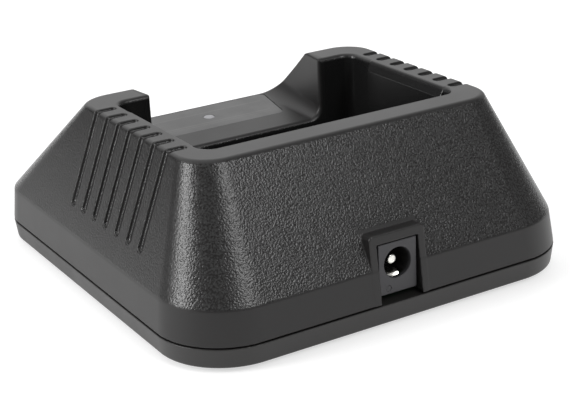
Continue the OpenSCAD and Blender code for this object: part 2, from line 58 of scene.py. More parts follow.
DECK_Z, DECK_FRONT_Z, DECK_FRONT_Y = 22.8, 24.3, -34.9
DECK_TAN = (DECK_FRONT_Z - DECK_Z) / (POCKET_FRONT - DECK_FRONT_Y)
DECK_TILT = math.atan(DECK_TAN)
MOUTH_X, MOUTH_FLARE, MOUTH_DRAFT = 21.5, 0.4, 4.0
MOUTH_R, MOUTH_R_FRONT = 2.8, 4.8

LABEL_MID, LABEL_W, LABEL_D, LABEL_TAPER, LABEL_R = 15.0, 37.0, 13.4, 2.1, 1.2
LABEL_T, LABEL_SUNK = 0.4, 0.5
WINDOW_D = 2.6

GROOVE_Y, GROOVE_PITCH, GROOVE_N = -9.1, 5.35, 7
GROOVE_W, GROOVE_DEPTH = 2.0, 0.7
GROOVE_TOP_X, GROOVE_LOW_Z = 31.65, 17.5
SLOPE_STRETCH = 1.075   # length along a side slope for each mm of height

HOOD_X, HOOD_TOP = 6.55, 19.35
HOOD_RISE, HOOD_RISE_Y = 0.12, 46.5     # its top climbs this much a mm to the rear, about this y
SLOT_X, SLOT_TOP = 4.9, 17.5
HOOD_TAN = 0.9 / 7.3    # how much the hood's face leans in, the same as the band

JACK_X, JACK_FACE, JACK_BACK = 4.5, 48.03, 34.03
JACK_Z0, JACK_Z1 = 6.5, 17.3
BORE_Z, BORE_R, BORE_L = 12.8, 3.15, 10.0
PIN_R, PIN_TIP_Y, PIN_STEP_Y = 1.0, 46.13, 38.53
STEM_R = 0.8            # the pin behind its step
LEAF_Z = 8.9            # height of the leaf's fixed end

# (y, z) of the bends of each sprung piece, from its fixed end
LEAF_PATH = [(36.63, 8.9), (42.03, 10.4), (45.43, 9.75), (46.03, 8.9)]
CONTACT_PATH = [(31.8, 8.0), (31.8, 16.6), (25.7, 19.4), (28.6, 22.0)]
CONTACT_X = 8.0
GAP_X, GAP_Z, GAP_MID = 2.5, 4.3, 19.7  # half sizes and middle height of the contacts' openings

SCREW_X, SCREW_Y = 38.0, 36.0
SCREW_R, COUNTER_R, COUNTER_H = 1.65, 3.1, 2.4
TOP_BOSS_R, BASE_BOSS_R = 3.5, 4.0
POST_X, POST_MID_Y, POST_HALF_Y, POST_R = 20.0, 7.5, 14.5, 2.75
POST_LOW_Z = 6.5        # lower ends of the posts that hold the board
FOOT_X, FOOT_Y, FOOT_R, FOOT_SUNK = 30.0, 42.5, 4.0, 0.6
RATING_X, RATING_Y, RATING_R, RATING_T = 23.0, 14.0, 1.2, 0.25
RATING_SUNK = 0.3

# how far in, level, the inside of each slope lies, which keeps its wall about WALL thick
IN_SIDE, IN_FRONT, IN_REAR = 2.15, 3.0, 2.34
HOLLOW_X, HOLLOW_Y, HOLLOW_R = 43.45, 46.7, 12.6        # upright part of the case's hollow
LIP_X, LIP_Y, LIP_R = 43.25, 46.5, 12.45                # the base's lip, which stands inside that
LIP_MID_Z, LIP_HALF_Z = 5.5, 2.0
BASE_IN_X, BASE_IN_Y, BASE_IN_R = 42.05, 45.3, 11.25    # the base's hollow


# ---------------------------------------------------------------- implicit shapes

def both(a, b, r=0.0):
    """Where a and b overlap; r rounds the outer edge."""
    if np.isscalar(r) and r == 0:
        return np.maximum(a, b)
    u, v = np.maximum(a + r, 0), np.maximum(b + r, 0)
    return np.minimum(np.maximum(a, b), -r) + np.sqrt(u * u + v * v)


def either(a, b, r=0.0):
    """a and b joined; r fills the inner corner with a fillet."""
    if np.isscalar(r) and r == 0:
        return np.minimum(a, b)
    u, v = np.maximum(r - a, 0), np.maximum(r - b, 0)
    return np.maximum(np.minimum(a, b), r) - np.sqrt(u * u + v * v)


def cut(a, b, r=0.0):
    """a with b taken away; r rounds the edge of the opening."""
    return both(a, -b, r)


def round_rect(dx, dy, r):
    """Distance to a rectangle with corner radius r, from the distances past its flat sides."""
    qx, qy = dx + r, dy + r
    u, v = np.maximum(qx, 0), np.maximum(qy, 0)
    return np.sqrt(u * u + v * v) + np.minimum(np.maximum(qx, qy), 0) - r


def lerp(a, b, t):
    return a + (b - a) * t


def tapered(x, y, z, z0, z1, low, high):
    """A rounded rectangle that changes evenly from low at z0 to high at z1.

    low and high are (half width, front y, rear y, rear corner radius, front corner radius)."""
    t = (z - z0) / (z1 - z0)
    d = [(h - l) / (z1 - z0) for l, h in zip(low, high)]
    hx, yf, yr, rr, rf = [lerp(l, h, t) for l, h in zip(low, high)]
    rear = y > (yf + yr) / 2
    r, dr = np.where(rear, rr, rf), np.where(rear, d[3], d[4])
    qx = np.abs(x) - hx + r
    qy = np.where(rear, y - yr, yf - y) + r
    sx = dr - d[0]
    sy = dr + np.where(rear, -d[2], d[1])
    u, v = np.maximum(qx, 0), np.maximum(qy, 0)
    length = np.sqrt(u * u + v * v)
    f = length + np.minimum(np.maximum(qx, qy), 0) - r
    safe = np.maximum(length, 1e-6)
    inside = length < 1e-6
    slope = np.where(inside, np.where(qx > qy, sx, sy), (u * sx + v * sy) / safe) - dr
    return f / np.sqrt(1 + slope * slope)


def smooth(a, b, x):
    t = np.clip((x - a) / (b - a), 0, 1)
    return t * t * (3 - 2 * t)


def case_outside(x, y, z):
    """Outer surface of the upper case, band and slopes, without its top edge."""
    band = tapered(x, y, z, SEAM_Z, BAND_Z, (CASE_X, -CASE_Y, CASE_Y, CASE_R, CASE_FRONT_R),
                   (BAND_X, -BAND_Y, BAND_Y, BAND_R, BAND_FRONT_R))
    slope = tapered(x, y, z, BAND_Z, CASE_H, (BAND_X, -BAND_Y, BAND_Y, BAND_R, BAND_FRONT_R),
                    (TOP_X, TOP_FRONT, TOP_REAR, TOP_R, TOP_FRONT_R))
    return both(band, slope, 0.12)


def deck_height(y):
    return DECK_Z + (POCKET_FRONT - y) * DECK_TAN


def mouth(x, y, z):
    """The opening between the horns, above the deck."""
    t = (POCKET_FRONT - y) / (POCKET_FRONT + CASE_Y)
    lean = MOUTH_DRAFT * t * (z - DECK_Z) / (CASE_H - DECK_Z)
    sides = np.abs(x) - (MOUTH_X + MOUTH_FLARE * t + lean)
    floor = (deck_height(y) - z) * math.cos(DECK_TILT)
    r = MOUTH_R + (MOUTH_R_FRONT - MOUTH_R) * np.clip(t, 0, 1)
    return both(both(floor, sides, r), y - POCKET_FRONT - 1.0)


def pocket(x, y, z):
    """The pocket that takes the radio, with its guide pads left standing."""
    dy = np.maximum(y - POCKET_REAR, POCKET_FRONT - y)
    well = round_rect(np.abs(x) - POCKET_X, dy, POCKET_R)
    lead = np.clip((z - (CASE_H - LEAD_BELOW)) / LEAD_H, 0, 1) * PAD_T
    pad = both(POCKET_X - PAD_T + lead - np.abs(x),
               np.maximum(PAD_Y[0] - y, y - PAD_Y[1]), 0.3)
    well = cut(well, both(pad, np.abs(x) - POCKET_X - 1.0), 0.15)
    return both(well, POCKET_FLOOR - z, 0.8)


def grooves(x, y, z, surface):
    """All grip grooves of both sides; surface is the distance to the case's outside."""
    i = np.clip(np.round((y - GROOVE_Y) / GROOVE_PITCH), 0, GROOVE_N - 1)
    across = np.abs(y - GROOVE_Y - i * GROOVE_PITCH)
    half = GROOVE_W / 2
    end_top = np.maximum(GROOVE_TOP_X + half - np.abs(x), 0)
    end_low = np.maximum(GROOVE_LOW_Z + half - z, 0) * SLOPE_STRETCH
    across = np.sqrt(across ** 2 + end_top ** 2 + end_low ** 2)
    r = 0.4
    u, v = across - (half - r), -surface - (GROOVE_DEPTH - r)
    uu, vv = np.maximum(u, 0), np.maximum(v, 0)
    return np.sqrt(uu * uu + vv * vv) + np.minimum(np.maximum(u, v), 0) - r


def hood(x, y, z):
    """The block round the DC socket that stands out of the rear slope."""
    face = (y - (CASE_Y - HOOD_TAN * (z - SEAM_Z))) / math.hypot(1, HOOD_TAN)
    sides = np.abs(x) - HOOD_X
    top = (z - HOOD_TOP - HOOD_RISE * (y - HOOD_RISE_Y)) * 0.993    # square to the tilted top
    f = both(sides, top, 1.0)
    f = both(f, face, 0.3)
    return np.maximum(f, 40.0 - y)


def label_plan(x, v, grow):
    """The label's outline on the deck; v runs towards the pocket from the label's middle."""
    side = math.hypot(LABEL_D, LABEL_TAPER)
    edge = (np.abs(x) - (LABEL_W / 2 - LABEL_TAPER * (v / LABEL_D + 0.5))) * LABEL_D / side
    return round_rect(edge - grow, np.abs(v) - LABEL_D / 2 - grow, LABEL_R + grow)


def deck_frame(y, z):
    """Coordinates on the deck: along it from the label's middle, and out of it."""
    dy, dz = y - POCKET_FRONT, z - DECK_Z
    c, s = math.cos(DECK_TILT), math.sin(DECK_TILT)
    return c * dy - s * dz + LABEL_MID, s * dy + c * dz


def label_recess(x, y, z):
    v, up = deck_frame(y, z)
    return both(label_plan(x, v, 0.06), -LABEL_SUNK - up, 0.1)


def led_hole(x, y, z):
    v, up = deck_frame(y, z)
    return both(np.sqrt(x * x + v * v) - 1.75, -up - 4.0)


def contact_windows(x, y, z):
    dx = np.abs(np.abs(x) - CONTACT_X) - GAP_X
    dz = np.abs(z - GAP_MID) - GAP_Z
    return both(round_rect(dx, dz, 0.3), np.abs(y - POCKET_REAR - 1.0) - 2.6)


def case_inside(x, y, z):
    """The hollow under the top shell, less the walls and bosses that hang in it."""
    low = (BAND_X - IN_SIDE, -BAND_Y + IN_FRONT, BAND_Y - IN_REAR, BAND_R - WALL, BAND_R - WALL)
    high = (TOP_X - IN_SIDE, TOP_FRONT + IN_FRONT, TOP_REAR - IN_REAR, TOP_R, TOP_FRONT_R)
    inner = tapered(x, y, z, BAND_Z, CASE_H, low, high)
    band = round_rect(np.abs(x) - HOLLOW_X, np.abs(y) - HOLLOW_Y, HOLLOW_R)
    hollow = both(both(inner, band), z - (CASE_H - WALL), 0.5)
    dy = np.maximum(y - POCKET_REAR - POCKET_WALL, POCKET_FRONT - POCKET_WALL - y)
    walls = both(round_rect(np.abs(x) - POCKET_X - POCKET_WALL, dy, POCKET_R + POCKET_WALL),
                 POCKET_FLOOR - WALL - z)
    t = (POCKET_FRONT - y) / (POCKET_FRONT + CASE_Y)
    r = MOUTH_R + WALL + (MOUTH_R_FRONT - MOUTH_R) * np.clip(t, 0, 1)
    deck = both(deck_height(y) - WALL - z, np.abs(x) - (MOUTH_X + WALL + MOUTH_FLARE * t), r)
    deck = both(deck, y - POCKET_FRONT)
    boss = np.sqrt((np.abs(x) - SCREW_X) ** 2 + (np.abs(y) - SCREW_Y) ** 2) - TOP_BOSS_R
    boss = both(boss, SEAM_Z + 0.3 - z)
    post = np.sqrt((np.abs(x) - POST_X) ** 2 + (np.abs(y - POST_MID_Y) - POST_HALF_Y) ** 2) - POST_R
    post = both(post, POST_LOW_Z - z)
    return cut(hollow, either(either(walls, deck), either(boss, post)))


def top_shell_shape(x, y, z):
    outside = case_outside(x, y, z)
    f = both(outside, z - CASE_H, 0.75)
    rim = f
    f = either(f, hood(x, y, z), 0.15)
    f = both(f, SEAM_Z + SEAM_GAP - z, 0.15)
    f = np.maximum(f, -case_inside(x, y, z))
    f = cut(f, mouth(x, y, z), 0.5)
    f = cut(f, pocket(x, y, z), 0.3 + 0.7 * smooth(26.5, 24.0, y + 0 * z))
    f = cut(f, grooves(x, y, z, rim), 0.25)
    slot = both(both(np.abs(x) - SLOT_X, z - SLOT_TOP, 0.15), JACK_BACK + 1.0 - y)
    f = cut(f, slot, 0.18)
    f = np.maximum(f, -contact_windows(x, y, z))
    f = cut(f, label_recess(x, y, z), 0.12)
    return np.maximum(f, -led_hole(x, y, z))


def base_shell_shape(x, y, z):
    f = tapered(x, y, z, STAND_H, SEAM_Z,
                (CASE_X - 0.5, 0.5 - CASE_Y, CASE_Y - 0.5, CASE_R - 0.4, CASE_FRONT_R - 0.4),
                (CASE_X, -CASE_Y, CASE_Y, CASE_R, CASE_FRONT_R))
    f = both(f, STAND_H - z, 0.5)
    f = both(f, z - SEAM_Z, 0.15)
    lip = round_rect(np.abs(x) - LIP_X, np.abs(y) - LIP_Y, LIP_R)
    f = either(f, both(lip, np.abs(z - LIP_MID_Z) - LIP_HALF_Z, 0.2))
    hollow = round_rect(np.abs(x) - BASE_IN_X, np.abs(y) - BASE_IN_Y, BASE_IN_R)
    hollow = both(hollow, STAND_H + WALL - z)
    boss = np.sqrt((np.abs(x) - SCREW_X) ** 2 + (np.abs(y) - SCREW_Y) ** 2)
    hollow = cut(hollow, both(boss - BASE_BOSS_R, z - SEAM_Z - 0.2))
    f = np.maximum(f, -hollow)
    gate = both(np.abs(x) - HOOD_X, both(SEAM_Z - z, 44.3 - y))
    f = np.maximum(f, -gate)
    f = cut(f, either(boss - SCREW_R, both(boss - COUNTER_R, z - STAND_H - COUNTER_H)), 0.15)
    foot = np.sqrt((np.abs(x) - FOOT_X) ** 2 + (np.abs(y) - FOOT_Y) ** 2) - FOOT_R - 0.2
    f = cut(f, both(foot, z - STAND_H - FOOT_SUNK), 0.1)
    label = round_rect(np.abs(x) - (RATING_X + 0.2), np.abs(y) - (RATING_Y + 0.2), RATING_R)
    return cut(f, both(label, z - STAND_H - RATING_SUNK), 0.08)


def jack_body_shape(x, y, z):
    f = both(np.abs(x) - JACK_X, np.maximum(JACK_Z0 - z, z - JACK_Z1), 0.2)
    f = both(f, np.maximum(y - JACK_FACE, JACK_BACK - y), 0.22)
    bore = both(np.sqrt(x * x + (z - BORE_Z) ** 2) - BORE_R, JACK_FACE - BORE_L - y)
    neck = both(np.sqrt(x * x + (z - BORE_Z) ** 2) - 0.82, y - JACK_FACE)
    f = cut(f, bore, 0.25)
    f = np.maximum(f, -neck)
    relief = both(np.abs(x) - 2.0, both(np.abs(z - LEAF_Z) - 1.5, np.abs(y - 41.33) - 5.6))
    f = np.maximum(f, -relief)
    tail = both(np.abs(x) - 0.8, both(np.abs(y - 35.23) - 0.2, z - 9.2))
    f = np.maximum(f, -tail)
    arm = both(np.abs(x) - 0.8, both(np.abs(z - LEAF_Z) - 0.3, np.abs(y - 36.0) - 0.8))
    f = np.maximum(f, -arm)
    switch = both(np.abs(y - 39.23) - 0.85, np.abs(z - 10.2) - 0.25)
    switch = both(np.maximum(1.1 - x, x - 10.0), switch)
    f = np.maximum(f, -switch)
    # the shallow round mark that the mould's ejector pin leaves low on the face
    mark = np.sqrt((x - 2.2) ** 2 + (z - 7.75) ** 2) - 0.62
    return cut(f, both(mark, JACK_FACE - 0.12 - y, 0.05), 0.05)


# ---------------------------------------------------------------- implicit surface to mesh

def sample(shape, xs, ys, zs, slab=12):
    """Values of a shape on a grid, worked out a few levels at a time."""
    out = np.empty((len(xs), len(ys), len(zs)), np.float32)
    x, y = xs[:, None, None], ys[None, :, None]
    for k in range(0, len(zs), slab):
        out[:, :, k:k + slab] = shape(x, y, zs[None, None, k:k + slab])
    return out


def gradient(shape, p, h=0.02):
    g = np.empty_like(p)
    for a in range(3):
        q = p.copy()
        q[:, a] += h
        up = shape(q[:, 0], q[:, 1], q[:, 2])
        q[:, a] -= 2 * h
        g[:, a] = (up - shape(q[:, 0], q[:, 1], q[:, 2])) / (2 * h)
    return g


def pull_on(shape, p, reach, steps=2, h=0.01):
    """Moves points on to the surface along the gradient, never further than reach."""
    start = p.copy()
    g = np.empty_like(p)
    for _ in range(steps):
        f = shape(p[:, 0], p[:, 1], p[:, 2])
        for a in range(3):
            q = p.copy()
            q[:, a] += h
            g[:, a] = (shape(q[:, 0], q[:, 1], q[:, 2]) - f) / h
        size = np.maximum((g * g).sum(1), 0.25)
        p = p - g * (f / size)[:, None]
        move = p - start
        far = np.linalg.norm(move, axis=1)
        p = start + move * np.minimum(1, reach / np.maximum(far, 1e-9))[:, None]
    return p


def surface_net(shape, low, high, step):
    """Quads round every grid edge that crosses the surface (surface nets)."""
    xs, ys, zs = [np.arange(a - 1.5 * step, b + 2 * step, step) for a, b in zip(low, high)]
    f = sample(shape, xs, ys, zs)
    inside = f < 0
    n = np.zeros([s - 1 for s in f.shape], np.int8)
    for dx in (0, 1):
        for dy in (0, 1):
            for dz in (0, 1):
                n += inside[dx:f.shape[0] - 1 + dx, dy:f.shape[1] - 1 + dy, dz:f.shape[2] - 1 + dz]
    cells = np.argwhere((n > 0) & (n < 8))
    index = -np.ones(n.shape, np.int32)
    index[tuple(cells.T)] = np.arange(len(cells))
    total = np.zeros((len(cells), 3))
    count = np.zeros(len(cells))
    corners = [np.array(c) for c in np.ndindex(2, 2, 2)]
    for a in corners:
        for axis in range(3):
            if a[axis]:
                continue
            b = a.copy()
            b[axis] = 1
            fa = f[tuple((cells + a).T)]
            fb = f[tuple((cells + b).T)]
            hit = (fa < 0) != (fb < 0)
            t = np.where(hit, fa / np.where(hit, fa - fb, 1), 0)
            where = a[None, :] + t[:, None] * (b - a)[None, :]
            total += where * hit[:, None]
            count += hit
    origin = np.array([xs[0], ys[0], zs[0]])
    points = origin + (cells + total / count[:, None]) * step
    quads = []
    for axis in range(3):
        u, v = (axis + 1) % 3, (axis + 2) % 3
        a = [slice(1, -1)] * 3
        a[axis] = slice(0, -1)
        b = list(a)
        b[axis] = slice(1, None)
        va, vb = inside[tuple(a)], inside[tuple(b)]
        hit = np.argwhere(va != vb)
        base = hit + np.array([0 if k == axis else 1 for k in range(3)])
        flip = va[tuple(hit.T)]
        ring = []
        for du, dv in ((0, 0), (1, 0), (1, 1), (0, 1)):
            c = base.copy()
            c[:, u] -= du
            c[:, v] -= dv
            ring.append(index[tuple(c.T)])
        ring = np.stack(ring, 1)
        ring[~flip] = ring[~flip][:, ::-1]
        quads.append(ring)
    return points, np.concatenate(quads)


def mesh_from(points, faces, name):
    mesh = bpy.data.meshes.new(name)
    mesh.vertices.add(len(points))
    mesh.vertices.foreach_set("co", (np.asarray(points, np.float64) * MM).ravel().astype(np.float32))
    k = faces.shape[1]
    mesh.loops.add(faces.size)
    mesh.loops.foreach_set("vertex_index", faces.ravel().astype(np.int32))
    mesh.polygons.add(len(faces))
    mesh.polygons.foreach_set("loop_start", np.arange(0, faces.size, k, dtype=np.int32))
    mesh.update(calc_edges=True)
    return mesh


def add_object(name, mesh, material=None):
    obj = bpy.data.objects.new(name, mesh)
    bpy.context.scene.collection.objects.link(obj)
    if material:
        mesh.materials.append(material)
    return obj


def solid(name, shape, low, high, step, most_faces, material):
    """A mesh object of an implicit shape, thinned out on its flat faces."""
    points, quads = surface_net(shape, low, high, step)
    points = pull_on(shape, points, 0.8 * step)
    obj = add_object(name, mesh_from(points, quads, name), material)
    triangles = 2 * len(quads)
    if triangles > most_faces:
        thin = obj.modifiers.new("thin", "DECIMATE")
        thin.ratio = most_faces / triangles
        deps = bpy.context.evaluated_depsgraph_get()
        less = bpy.data.meshes.new_from_object(obj.evaluated_get(deps))
        obj.modifiers.clear()
        old = obj.data
        obj.data = less
        bpy.data.meshes.remove(old)
        less.name = name
    mesh = obj.data
    co = np.empty(3 * len(mesh.vertices), np.float32)
    mesh.vertices.foreach_get("co", co)
    p = co.reshape(-1, 3).astype(np.float64) / MM
    p = np.clip(pull_on(shape, p, 0.3 * step, 2), low, high)
    mesh.vertices.foreach_set("co", (p * MM).ravel().astype(np.float32))
    normal = gradient(shape, p)
    normal /= np.maximum(np.linalg.norm(normal, axis=1), 1e-9)[:, None]
    mesh.polygons.foreach_set("use_smooth", np.ones(len(mesh.polygons), bool))
    mesh.update()
    mesh.normals_split_custom_set_from_vertices(normal.astype(np.float32).tolist())
    print(name, len(quads), "quads, kept", len(mesh.polygons), "faces")
    return obj


# ---------------------------------------------------------------- other mesh builders

def lathe(name, profile, centre, axis, material, turns=64):
    """A turned solid; profile is (radius, height along axis) from one end to the other."""
    ring = len(profile)
    a = np.linspace(0, 2 * math.pi, turns, endpoint=False)
    pts = []
    for r, h in profile:
        c = np.stack([r * np.cos(a), r * np.sin(a), np.full(turns, h)], 1)
        pts.append(c)
    p = np.concatenate(pts)
    if axis == "Y":
        p = p[:, [0, 2, 1]] * np.array([-1, 1, 1])
    p = p + np.array(centre)
    faces = []
    for i in range(ring - 1):
        for j in range(turns):
            k = (j + 1) % turns
            faces.append((i * turns + j, i * turns + k, (i + 1) * turns + k, (i + 1) * turns + j))
    mesh = mesh_from(p, np.array(faces), name)
    bm = bmesh.new()
    bm.from_mesh(mesh)
    bmesh.ops.remove_doubles(bm, verts=bm.verts, dist=1e-6)
    bmesh.ops.recalc_face_normals(bm, faces=bm.faces)
    bm.to_mesh(mesh)
    bm.free()
    obj = add_object(name, mesh, material)
    shade(obj, 40)
    return obj


def shade(obj, angle=30):
    """Smooth shading that keeps edges sharper than angle."""
    mesh = obj.data
    mesh.polygons.foreach_set("use_smooth", np.ones(len(mesh.polygons), bool))
    mesh.set_sharp_from_angle(angle=math.radians(angle))


def rounded_path(points, radius, steps=6):
    """A line of points with an arc at each bend."""
    out = [np.array(points[0], float)]
    for i in range(1, len(points) - 1):
        a, b, c = [np.array(points[k], float) for k in (i - 1, i, i + 1)]
        u, v = (a - b), (c - b)
        lu, lv = np.linalg.norm(u), np.linalg.norm(v)
        cut_back = min(radius, 0.45 * lu, 0.45 * lv)
        p, q = b + u / lu * cut_back, b + v / lv * cut_back
        for t in np.linspace(0, 1, steps):
            out.append((1 - t) ** 2 * p + 2 * t * (1 - t) * b + t * t * q)
    out.append(np.array(points[-1], float))
    return np.array(out)


def bent_strip(name, path, x_mid, width, thick, material, crown=0.0, columns=9, ease=0.06):
    """A bent metal strip along [y, z] points, a little crowned across its width."""
    n = len(path)
    tangent = np.gradient(path, axis=0)
    tangent /= np.linalg.norm(tangent, axis=1)[:, None]
    normal = np.stack([-tangent[:, 1], tangent[:, 0]], 1)
    us = np.linspace(-1, 1, columns)
    section = [(u * (width / 2 - ease), thick / 2 + crown * (1 - u * u)) for u in us]
    section += [(width / 2, thick / 2 - ease), (width / 2, -thick / 2 + ease)]
    section += [(u * (width / 2 - ease), -thick / 2 + crown * (1 - u * u)) for u in us[::-1]]
    section += [(-width / 2, -thick / 2 + ease), (-width / 2, thick / 2 - ease)]
    k = len(section)
    pts = []
    for i in range(n):
        for sx, sn in section:
            pts.append((x_mid + sx, path[i, 0] + normal[i, 0] * sn, path[i, 1] + normal[i, 1] * sn))
    bm = bmesh.new()
    vs = [bm.verts.new([c * MM for c in p]) for p in pts]
    for i in range(n - 1):
        for j in range(k):
            m = (j + 1) % k
            bm.faces.new((vs[i * k + j], vs[i * k + m], vs[(i + 1) * k + m], vs[(i + 1) * k + j]))
    bm.faces.new(vs[:k][::-1])
    bm.faces.new(vs[(n - 1) * k:])
    bmesh.ops.recalc_face_normals(bm, faces=bm.faces)
    mesh = bpy.data.meshes.new(name)
    bm.to_mesh(mesh)
    bm.free()
    obj = add_object(name, mesh, material)
    shade(obj, 35)
    return obj


def sheet_piece(name, outline, thick, place, material, holes=(), bevel=0.06):
    """A thin sheet from an outline in its own plane, its edges eased, set by the matrix place."""
    bm = bmesh.new()
    rings = [outline] + list(holes)
    edges = []
    for ring in rings:
        vs = [bm.verts.new((x * MM, y * MM, 0)) for x, y in ring]
        edges += [bm.edges.new((vs[i], vs[(i + 1) % len(vs)])) for i in range(len(vs))]
    bmesh.ops.triangle_fill(bm, use_beauty=True, use_dissolve=False, edges=edges, normal=(0, 0, 1))
    for f in bm.faces:
        if f.normal.z < 0:
            f.normal_flip()
    top = bmesh.ops.extrude_face_region(bm, geom=bm.faces[:])
    verts = [v for v in top["geom"] if isinstance(v, bmesh.types.BMVert)]
    bmesh.ops.translate(bm, verts=verts, vec=(0, 0, thick * MM))
    bmesh.ops.recalc_face_normals(bm, faces=bm.faces)
    mesh = bpy.data.meshes.new(name)
    bm.to_mesh(mesh)
    bm.free()
    mesh.transform(place)
    obj = add_object(name, mesh, material)
    ease = obj.modifiers.new("ease", "BEVEL")
    ease.width = bevel * MM
    ease.segments = 2
    ease.limit_method = "ANGLE"
    ease.angle_limit = math.radians(50)
    shade(obj, 40)
    return obj


def rounded_outline(half_w, half_d, r, steps=8):
    pts = []
    for cx, cy, a0 in ((1, 1, 0), (-1, 1, 90), (-1, -1, 180), (1, -1, 270)):
        for i in range(steps + 1):
            a = math.radians(a0 + 90 * i / steps)
            pts.append((cx * (half_w - r) + r * math.cos(a), cy * (half_d - r) + r * math.sin(a)))
    return pts


def circle_outline(x, y, r, steps=40):
    return [(x + r * math.cos(2 * math.pi * i / steps), y + r * math.sin(2 * math.pi * i / steps))
            for i in range(steps)]


# ---------------------------------------------------------------- materials

class Nodes:
    """A short way to write node trees."""

    def __init__(self, name):
        self.material = bpy.data.materials.new(name)
        self.material.use_nodes = True
        self.tree = self.material.node_tree
        self.tree.nodes.clear()
        self.out = self.tree.nodes.new("ShaderNodeOutputMaterial")
        self.shader = self.tree.nodes.new("ShaderNodeBsdfPrincipled")
        self.tree.links.new(self.shader.outputs[0], self.out.inputs[0])
        self.place = self.tree.nodes.new("ShaderNodeTexCoord").outputs["Object"]

    def put(self, value, socket):
        if isinstance(value, bpy.types.NodeSocket):
            self.tree.links.new(value, socket)
        else:
            socket.default_value = value

    def math(self, op, a, b=0.0, c=0.0, clamp=False):
        n = self.tree.nodes.new("ShaderNodeMath")
        n.operation = op
        n.use_clamp = clamp
        for v, s in zip((a, b, c), n.inputs):
            self.put(v, s)
        return n.outputs[0]

    def ramp(self, x, x0, x1, y0=0.0, y1=1.0, kind="SMOOTHSTEP"):
        n = self.tree.nodes.new("ShaderNodeMapRange")
        n.interpolation_type = kind
        for v, s in zip((x, x0, x1, y0, y1), n.inputs):
            self.put(v, s)
        return n.outputs[0]

    def split(self, vector):
        n = self.tree.nodes.new("ShaderNodeSeparateXYZ")
        self.put(vector, n.inputs[0])
        return n.outputs

    def noise(self, scale, detail=2.0, rough=0.5, vector=None, stretch=None, distort=0.0):
        n = self.tree.nodes.new("ShaderNodeTexNoise")
        v = vector or self.place
        if stretch:
            m = self.tree.nodes.new("ShaderNodeMapping")
            m.inputs["Scale"].default_value = stretch
            self.tree.links.new(v, m.inputs[0])
            v = m.outputs[0]
        self.tree.links.new(v, n.inputs["Vector"])
        n.inputs["Scale"].default_value = scale
        n.inputs["Detail"].default_value = detail
        n.inputs["Roughness"].default_value = rough
        n.inputs["Distortion"].default_value = distort
        return n.outputs[0]

    def cells(self, scale, smoothness=0.6, vector=None):
        n = self.tree.nodes.new("ShaderNodeTexVoronoi")
        n.feature = "SMOOTH_F1"
        self.tree.links.new(vector or self.place, n.inputs["Vector"])
        n.inputs["Scale"].default_value = scale
        n.inputs["Smoothness"].default_value = smoothness
        return n.outputs["Distance"]

    def mix_colour(self, t, a, b):
        n = self.tree.nodes.new("ShaderNodeMix")
        n.data_type = "RGBA"
        self.put(t, n.inputs["Factor"])
        self.put(a, n.inputs[6])
        self.put(b, n.inputs[7])
        return n.outputs[2]

    def bump(self, height, depth, strength=1.0, after=None):
        """Bump of a 0..1 height, with depth in metres."""
        n = self.tree.nodes.new("ShaderNodeBump")
        n.inputs["Distance"].default_value = depth
        self.put(strength, n.inputs["Strength"])
        self.put(height, n.inputs["Height"])
        if after:
            self.put(after, n.inputs["Normal"])
        return n.outputs[0]

    def set(self, **values):
        for key, v in values.items():
            self.put(v, self.shader.inputs[key.replace("_", " ")])
        return self.material


def grey(v, tint=(1.0, 1.0, 1.0)):
    return (v * tint[0], v * tint[1], v * tint[2], 1.0)


